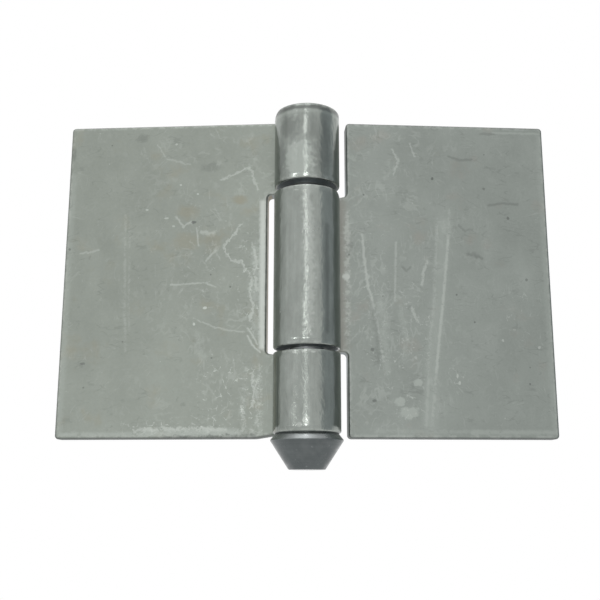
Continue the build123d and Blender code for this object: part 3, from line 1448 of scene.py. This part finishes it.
@dataclass(frozen=True)
class Hung:
    """Something flat that faces the pin, placed round it by azimuth and elevation, in degrees and metres."""

    name: str
    azimuth: float
    elevation: float
    distance: float
    width: float
    height: float

    @property
    def towards(self) -> Vector:
        """The direction from the pin to it."""
        return heading(self.azimuth, self.elevation)


@dataclass(frozen=True)
class Lamp(Hung):
    """A soft lamp."""

    radiance: float

    def hang(self, centre: Vector) -> None:
        """Adds the lamp; its power follows from its size and how bright its face is.

        Args:
            centre: what it faces.
        """
        data = bpy.data.lights.new(self.name, "AREA")
        data.shape = "RECTANGLE"
        data.size, data.size_y = self.width, self.height
        data.energy = self.radiance * math.pi * self.width * self.height
        lamp = bpy.data.objects.new(self.name, data)
        lamp.location = centre + self.towards * self.distance
        lamp.rotation_euler = self.towards.to_track_quat("Z", "Y").to_euler()
        bpy.context.scene.collection.objects.link(lamp)


@dataclass(frozen=True)
class Card(Hung):
    """A grey card that the metal mirrors and the camera does not see."""

    tone: Colour

    def hang(self, centre: Vector) -> None:
        """Adds the card.

        Args:
            centre: what it faces.
        """
        turned = self.towards.to_track_quat("Z", "Y")
        middle = centre + self.towards * self.distance
        corners = [middle + turned @ Vector((x * self.width, y * self.height, 0.0)) for x, y in SQUARE]
        material = bpy.data.materials.new(self.name)
        bench = Bench.bare(material)
        grey = bench.out("ShaderNodeEmission", {}, {"Color": (*self.tone, 1.0), "Strength": 1.0})
        bench.node("ShaderNodeOutputMaterial", {}, {"Surface": grey})
        card = stage_sheet(self.name, corners, material)
        card.visible_camera = False
        card.visible_diffuse = False
        card.visible_shadow = False


@dataclass
class Studio:
    """A pale floor, white all round, soft lamps and the camera. Metres, and degrees for angles."""

    centre: Vector
    floor_drop: float = 0.46
    floor_size: float = 5.0
    floor_colour: Colour = (0.90, 0.90, 0.90)
    floor_white: float = 0.8
    fill: float = 0.8
    camera_azimuth: float = 3.65
    camera_elevation: float = -12.2
    camera_distance: float = 0.3166
    camera_drop: float = 0.01109
    lens: float = 52.8
    shift: float = -0.0116
    near: float = 0.01
    # Name, azimuth, elevation, distance, width and height, then a lamp's radiance or a card's tone
    hung: tuple[Union[Lamp, Card], ...] = (
        Lamp("strip_by_the_camera", -1.0, 14.0, 0.9, 0.07, 0.30, 2.7),
        Lamp("front_upper_lamp", -1.0, 34.0, 0.9, 0.08, 0.08, 5.0),
        Lamp("front_lower_lamp", -1.0, -8.0, 0.9, 0.06, 0.10, 18.0),
        Lamp("left_upper_lamp", -36.4, 34.0, 0.9, 0.08, 0.08, 4.0),
        Lamp("left_lower_lamp", -36.4, -8.0, 0.9, 0.06, 0.10, 16.0),
        Lamp("overhead_lamp", -8.0, 79.0, 0.9, 0.06, 0.06, 16.0),
        Lamp("overhead_softbox", -20.0, 75.0, 1.0, 0.70, 0.70, 0.9),
        Card("right_card", 81.0, 5.0, 0.6, 0.58, 1.20, (0.48, 0.51, 0.53)),
        Card("left_card", -89.0, 5.0, 0.6, 0.36, 1.20, (0.82, 0.83, 0.82)),
    )

    def build(self) -> None:
        """Sets up everything round the object."""
        bpy.context.scene.view_settings.view_transform = "Standard"
        self._world()
        self._floor()
        for thing in self.hung:
            thing.hang(self.centre)
        self._camera()

    @staticmethod
    def _seen(bench: Bench) -> Wire:
        """Tells the rays that show a background: the camera's, and those mirrored or bent by the object.

        Args:
            bench: where the nodes go.

        Returns:
            1 for those rays.
        """
        path = bench.node("ShaderNodeLightPath")
        names = ("Is Camera Ray", "Is Glossy Ray", "Is Transmission Ray")
        return reduce(Wire.most, (Wire(bench, path.outputs[name]) for name in names))

    def _world(self) -> None:
        """White where it is seen, and a plain level of fill light elsewhere."""
        world = bpy.data.worlds.new("white_surround")
        bench = Bench.bare(world)
        fill = bench.out("ShaderNodeBackground", {}, {"Color": WHITE, "Strength": self.fill})
        white = bench.out("ShaderNodeBackground", {}, {"Color": WHITE, "Strength": 1.0})
        both = bench.out("ShaderNodeMixShader", {}, {0: self._seen(bench), 1: fill, 2: white})
        bench.node("ShaderNodeOutputWorld", {}, {"Surface": both})
        bpy.context.scene.world = world

    def _floor(self) -> None:
        """A wide pale floor, which stays nearly white where it is seen and keeps a soft shadow."""
        level = self.centre.z - self.floor_drop
        corners = [
            Vector((self.centre.x + x * self.floor_size, y * self.floor_size, level)) for x, y in SQUARE
        ]
        material = bpy.data.materials.new("pale_floor")
        bench = Bench.bare(material)
        lit = bench.out("ShaderNodeBsdfDiffuse", {}, {"Color": (*self.floor_colour, 1.0)})
        white = bench.out("ShaderNodeEmission", {}, {"Color": WHITE, "Strength": 1.0})
        share = self._seen(bench) * self.floor_white
        both = bench.out("ShaderNodeMixShader", {}, {0: share, 1: lit, 2: white})
        bench.node("ShaderNodeOutputMaterial", {}, {"Surface": both})
        stage_sheet("pale_floor", corners, material)

    def _camera(self) -> None:
        """The camera at the photograph's angle."""
        data = bpy.data.cameras.new("camera")
        data.lens = self.lens
        data.sensor_width = SENSOR
        data.shift_x = self.shift
        data.clip_start = self.near
        camera = bpy.data.objects.new("camera", data)
        towards = heading(self.camera_azimuth, self.camera_elevation)
        target = self.centre - Vector((0.0, 0.0, self.camera_drop))
        camera.location = target + towards * self.camera_distance
        camera.rotation_euler = towards.to_track_quat("Z", "Y").to_euler()
        bpy.context.scene.collection.objects.link(camera)
        bpy.context.scene.camera = camera


FIXED_ROLL = Roll(SIZES.fixed_bore + SIZES.plate, -1.0, 0.0)
MOVING_ROLL = Roll(SIZES.moving_bore + SIZES.plate, 1.0, SIZES.fold_back)

# A scratch has its path, width, strength, wander and gaps; a spot its place, half size, strength and softness
FIXED_MARKS: Marks = {
    Hit.WARM: (
        Spot((25.7, 29.3), (2.6, 1.6), 0.55, 1.0),
        Spot((45.6, 24.9), (4.0, 2.4), 0.40, 1.0),
        Spot((45.7, 13.3), (5.0, 3.0), 0.35, 1.0),
        Scratch(FIXED_ROLL.path((-66.0, -33.0), (-66.0, -58.0)), 2.4, 0.45, 0.3, 0.1),
    ),
    Hit.PALE: (
        # painted highlight: light bands along the lower edge, this and the next
        Scratch(((25.0, -58.0), (58.0, -58.0)), 2.4, 0.65, 0.6, 0.35),
        Scratch(((58.0, -58.4), (90.0, -58.4)), 1.6, 0.50, 0.5, 0.45),
        Scratch(((19.4, 12.0), (19.8, -2.0), (18.8, -22.0)), 3.4, 0.45, 1.4, 0.65),
        # painted highlight: light band along the outer edge
        Scratch(((90.3, 40.0), (90.3, -57.5)), 2.2, 0.30, 0.4, 0.3),
        Scratch(((40.5, -22.0), (39.0, -31.0)), 2.6, 0.36, 1.8, 0.6),
        Spot(FIXED_ROLL.at(-10.0, 38.5), (5.0, 7.5), 0.80, 0.4),
        # painted highlight: pale band under the upper knuckle's top rim
        Scratch(FIXED_ROLL.path((-80.0, 56.9), (80.0, 56.9)), 1.5, 0.40, 0.1, 0.0),
    ),
    Hit.NICKED: (
        Spot((21.0, -1.0), (5.0, 18.0), 1.00, 1.0),
        Spot((29.0, -45.0), (12.0, 15.0), 0.75, 1.0),
        Spot((39.0, 5.0), (9.0, 22.0), 0.35, 1.4),
        Spot((20.5, -45.0), (4.5, 12.0), 1.00, 0.8),
        Spot((42.0, -56.0), (27.0, 3.2), 0.90, 0.9),
    ),
    Hit.DARK: (
        # painted shadow: dark line along the lower edge beside the pin's head
        Scratch(((52.0, -59.2), (36.0, -59.0), (19.0, -59.0)), 0.9, 0.60, 0.9, 0.6),
        Spot((43.2, 20.8), (1.1, 0.5), 0.75),
        Spot((36.8, 42.4), (3.4, 1.4), 0.26, 1.2),
        Spot((63.9, 55.1), (2.0, 1.6), 0.30, 1.0),
        Spot((90.6, 49.0), (0.8, 2.4), 0.40, 1.0),
        Spot((90.4, 11.0), (0.5, 0.5), 0.60),
        Spot((82.9, -32.5), (0.9, 0.5), 0.55),
        # painted shade: darker patches on the upper knuckle, this and the next four
        Spot(FIXED_ROLL.at(-30.0, 51.0), (4.4, 3.6), 0.46, 1.2),
        Spot(FIXED_ROLL.at(-21.0, 48.0), (1.6, 3.0), 0.34, 1.2),
        Spot(FIXED_ROLL.at(-48.0, 40.0), (2.0, 8.0), 0.38, 1.2),
        Spot(FIXED_ROLL.at(32.0, 43.0), (3.6, 11.0), 0.40, 1.2),
        Spot(FIXED_ROLL.at(16.0, 50.0), (3.0, 4.0), 0.30, 1.2),
        # painted shade: dark band under the upper knuckle's top rim
        Scratch(FIXED_ROLL.path((-88.0, 58.5), (88.0, 58.5)), 1.7, 0.85, 0.1, 0.0),
        Scratch(FIXED_ROLL.path((-53.0, -33.0), (-54.0, -58.0)), 0.8, 0.55, 0.2, 0.1),
    ),
    Hit.BRIGHT: (
        # light band beside the slot: partly bared metal, partly painted highlight
        Scratch(((17.0, 28.0), (16.8, -27.0)), 2.1, 0.90, 0.3, 0.15),
        Scratch(
            ((25.5, 19.5), (27.5, 16.0), (31.8, 11.0), (29.0, 5.6), (24.8, 5.2), (23.0, 2.0)),
            0.7, 0.48, 1.2, 0.45,
        ),
        Scratch(
            ((23.0, 2.0), (20.6, -1.2), (22.0, -8.0), (20.2, -11.4), (21.2, -18.0)),
            0.9, 0.50, 1.4, 0.45,
        ),
        Scratch(((21.0, 12.0), (19.0, 6.0), (20.5, 1.0), (18.5, -6.0)), 1.3, 0.45, 1.6, 0.5),
        Scratch(
            ((32.8, 37.4), (27.0, 40.2), (22.0, 42.2), (20.8, 37.6), (18.6, 33.0)),
            0.9, 0.42, 1.3, 0.5,
        ),
        Scratch(((22.2, -23.0), (20.2, -26.2), (17.6, -28.8)), 0.7, 0.55, 0.5, 0.2),
        Scratch(((22.0, -20.0), (18.4, -26.0)), 0.6, 0.50, 0.5, 0.3),
        Scratch(((69.4, 24.0), (68.4, -9.0), (67.2, -28.0)), 0.9, 0.19, 0.3, 0.75),
        Scratch(((67.6, 22.0), (66.8, -9.0), (66.0, -22.0)), 0.8, 0.15, 0.3, 0.8),
        Scratch(((51.0, -3.4), (38.4, -2.7), (34.5, -4.4)), 0.6, 0.40, 0.5, 0.5),
        Scratch(((42.2, -16.0), (34.2, -19.6), (23.0, -21.6)), 0.6, 0.32, 0.6, 0.6),
        Scratch(((42.0, 18.5), (41.0, 11.6)), 0.6, 0.34, 0.4, 0.4),
        Scratch(((38.2, 5.8), (34.4, 9.7)), 0.6, 0.34, 0.5, 0.4),
        Scratch(((39.6, 16.8), (35.8, 16.2)), 1.6, 0.40, 1.0, 0.4),
        Scratch(((50.0, 23.0), (47.0, 19.0), (44.0, 21.0)), 0.8, 0.40, 0.9, 0.4),
        Scratch(((23.0, -35.0), (23.3, -57.5)), 2.0, 0.34, 1.6, 0.8),
        Scratch(((18.3, -34.5), (17.8, -55.0)), 2.2, 0.42, 1.8, 0.75),
        Scratch(((62.0, -57.0), (48.0, -56.4), (30.0, -56.8)), 1.4, 0.55, 1.6, 0.6),
        Scratch(((20.4, -37.0), (19.4, -43.0), (20.6, -49.0)), 1.0, 0.50, 1.6, 0.4),
        Scratch(((85.6, 9.3), (79.0, 10.5)), 0.8, 0.32, 0.8, 0.4),
        Scratch(((58.0, 52.0), (54.0, 46.0), (45.0, 44.0)), 0.6, 0.25, 0.8, 0.5),
        Spot((61.2, 26.0), (0.5, 0.4), 0.6),
        Spot((53.6, 22.6), (0.8, 0.4), 0.5),
        Spot((50.8, 19.4), (0.5, 0.4), 0.5),
        Spot((50.7, 52.2), (0.5, 0.4), 0.5),
        Spot((38.1, -12.3), (0.7, 0.5), 0.8),
        Spot((42.1, -18.3), (0.4, 0.5), 0.8),
        Spot((48.6, 35.8), (0.4, 0.4), 0.60),
        Spot((41.9, 32.0), (0.4, 0.4), 0.60),
        # painted highlight: streak down the front of the upper knuckle
        Scratch(FIXED_ROLL.path((1.0, 54.5), (0.0, 48.5)), 1.3, 0.55, 0.5, 0.2),
        # painted glints on the lower knuckle's upper rim, this and the next two
        Spot(FIXED_ROLL.at(-17.0, -31.7), (0.7, 0.5), 0.60, 0.9),
        Spot(FIXED_ROLL.at(0.0, -31.5), (0.9, 0.5), 0.65, 0.9),
        Spot(FIXED_ROLL.at(14.0, -31.7), (0.7, 0.4), 0.55, 0.9),
        # painted glints near the lower knuckle's lower rim, this and the next
        Spot(FIXED_ROLL.at(2.0, -55.0), (1.0, 1.6), 0.60, 0.9),
        Spot(FIXED_ROLL.at(-9.0, -56.4), (1.0, 0.8), 0.45, 0.9),
    ),
}

MOVING_MARKS: Marks = {
    Hit.WARM: (
        Scratch(((12.0, 27.0), (12.0, -27.0)), 6.0, 0.50, 0.5, 0.0),
    ),
    Hit.PALE: (
        # painted highlight: light bands along the lower, upper and outer edges, this and the next three
        Scratch(((60.0, -57.6), (91.0, -57.6)), 1.6, 0.50, 0.5, 0.4),
        Scratch(((25.0, -57.4), (60.0, -57.4)), 1.2, 0.30, 0.5, 0.5),
        Scratch(((72.7, 57.6), (90.7, 57.6)), 0.9, 0.50, 0.4, 0.4),
        Scratch(((90.4, 56.0), (90.4, -57.0)), 2.0, 0.26, 0.4, 0.3),
        Scratch(((27.6, -8.0), (29.0, -22.0), (29.6, -36.0)), 2.4, 0.34, 1.2, 0.6),
        Scratch(((34.6, -12.0), (36.8, -22.0), (36.0, -31.0)), 2.0, 0.36, 1.6, 0.6),
        Scratch(((52.4, 20.0), (49.4, -9.0), (46.8, -28.0), (44.4, -55.6)), 4.6, 0.32, 0.2, 0.0),
        Spot((37.2, -50.6), (3.4, 2.2), 0.75, 0.5),
        Spot((34.0, -46.6), (2.0, 1.6), 0.75, 0.5),
        Spot((40.8, -40.0), (1.7, 1.3), 0.75, 0.5),
    ),
    Hit.NICKED: (
        Spot((24.0, -5.0), (8.0, 26.0), 0.40, 1.4),
        Spot((39.0, -20.0), (7.0, 26.0), 0.50, 1.2),
        Spot((36.5, -48.5), (6.0, 5.0), 0.75, 1.0),
        Spot((31.0, -30.0), (9.0, 14.0), 0.55, 1.2),
        Spot((55.5, -38.0), (3.0, 5.0), 0.60, 1.0),
        Spot((79.0, -14.0), (6.0, 9.0), 0.50, 1.2),
    ),
    Hit.DARK: (
        Scratch(((24.6, -13.0), (26.4, -24.0), (25.8, -33.0)), 1.6, 0.26, 1.2, 0.5),
        Spot((48.3, 38.2), (0.6, 0.6), 0.8),
        Spot((77.0, 23.1), (0.6, 0.6), 0.7),
        Spot((68.1, 34.6), (0.5, 0.5), 0.55),
        Spot((82.8, -0.9), (0.5, 0.5), 0.55),
        Spot((24.4, -27.9), (0.7, 0.6), 0.6),
        Spot((24.8, -46.6), (0.8, 0.6), 0.6),
        Spot((70.3, 57.0), (3.4, 0.6), 0.32, 0.8),
        Scratch(((55.0, 47.4), (59.0, 46.0), (63.6, 46.2)), 0.9, 0.35, 0.5, 0.2),
        Scratch(((69.6, 28.0), (75.0, 29.0), (81.0, 28.6)), 0.9, 0.38, 0.5, 0.2),
        Scratch(((61.0, 8.8), (63.4, 8.4), (66.0, 7.2)), 1.4, 0.38, 0.8, 0.2),
        Scratch(((58.0, 20.0), (60.0, 17.6), (63.0, 18.4)), 0.8, 0.28, 0.8, 0.3),
        Scratch(((36.0, 3.4), (37.6, 1.8), (39.0, 3.4)), 0.8, 0.32, 0.6, 0.2),
        # painted shade: dark streak down the right of the middle knuckle
        Scratch(MOVING_ROLL.path((40.0, 14.0), (40.0, -24.0)), 1.6, 0.45, 0.3, 0.1),
    ),
    Hit.BRIGHT: (
        Scratch(((54.6, 26.0), (53.4, 12.0)), 0.9, 0.20, 0.4, 0.75),
        Scratch(((53.6, 14.0), (51.0, -9.0), (48.5, -28.0), (47.6, -36.0)), 1.0, 0.40, 0.3, 0.40),
        Scratch(((47.6, -36.0), (45.5, -55.6)), 1.0, 0.22, 0.4, 0.70),
        Scratch(((49.6, 22.0), (47.6, -9.0), (45.2, -28.0), (43.3, -55.6)), 1.0, 0.19, 0.4, 0.70),
        Scratch(((21.2, 15.6), (21.6, 7.6), (22.9, -3.8), (24.6, -9.5)), 0.9, 0.45, 0.4, 0.3),
        Scratch(((24.6, -9.5), (27.0, -22.6), (28.4, -32.0)), 1.0, 0.30, 0.8, 0.6),
        Scratch(((33.8, 12.7), (32.9, -9.4)), 0.8, 0.30, 0.3, 0.5),
        Scratch(((45.4, 5.6), (43.8, 1.6), (43.3, -3.4)), 0.9, 0.42, 0.7, 0.4),
        Scratch(((39.0, -12.0), (41.2, -17.5)), 1.0, 0.42, 1.2, 0.4),
        Scratch(((33.0, 50.0), (35.6, 45.0), (33.4, 40.0)), 0.7, 0.35, 1.0, 0.5),
        Scratch(((40.0, 52.0), (41.6, 47.0)), 0.7, 0.35, 0.8, 0.4),
        Scratch(((15.6, 24.0), (15.2, 10.0), (15.6, -2.0), (15.2, -24.0)), 1.8, 0.45, 1.0, 0.75),
        Spot((15.0, -0.8), (1.3, 1.6), 0.85, 0.7),
        Spot((55.3, -37.3), (0.4, 0.8), 0.6),
        Spot((56.0, -39.9), (0.5, 0.6), 0.6),
        Spot((72.8, -24.0), (0.5, 0.5), 0.5),
        Spot((86.3, -26.5), (0.5, 0.5), 0.5),
        # painted highlight: wavy streak down the front of the middle knuckle
        Scratch(
            MOVING_ROLL.path((3.0, 27.0), (7.0, 10.0), (10.0, -6.0), (6.0, -24.0)),
            3.0, 0.38, 1.8, 0.35,
        ),
    ),
}


def main() -> None:
    """Builds the pieces and the studio in order."""
    logging.basicConfig(level=logging.INFO, format="%(message)s")
    joint = frame["joints"][0]
    axis = Vector((joint["pos_m"][0], joint["pos_m"][1], 0.0))
    fixed_steel = MillSteel("fixed_leaf_steel", 3.0, FIXED_MARKS, slot_wall_painted_light=(0.34, 0.31, 0.25))
    moving_steel = MillSteel(
        "moving_leaf_steel", 11.0, MOVING_MARKS, plate=(0.276, 0.302, 0.279), warm=(0.295, 0.278, 0.246)
    )
    fixed = FixedLeaf(fixed_steel, axis)
    moving = MovingLeaf(moving_steel, axis)
    pin = HeadedPin(
        node="hinge_pin",
        body="fixed",
        slot="pin_steel",
        finish=TurnedSteel("pin_steel", (axis.x, axis.y)),
        axis=axis,
    )
    Studio(centre=axis).build()
    for part in (fixed, moving, pin):
        piece = part.build()
        log.info("%s: %d vertices, %d faces", piece.name, len(piece.data.vertices), len(piece.data.polygons))


if __name__ == "__main__":
    main()
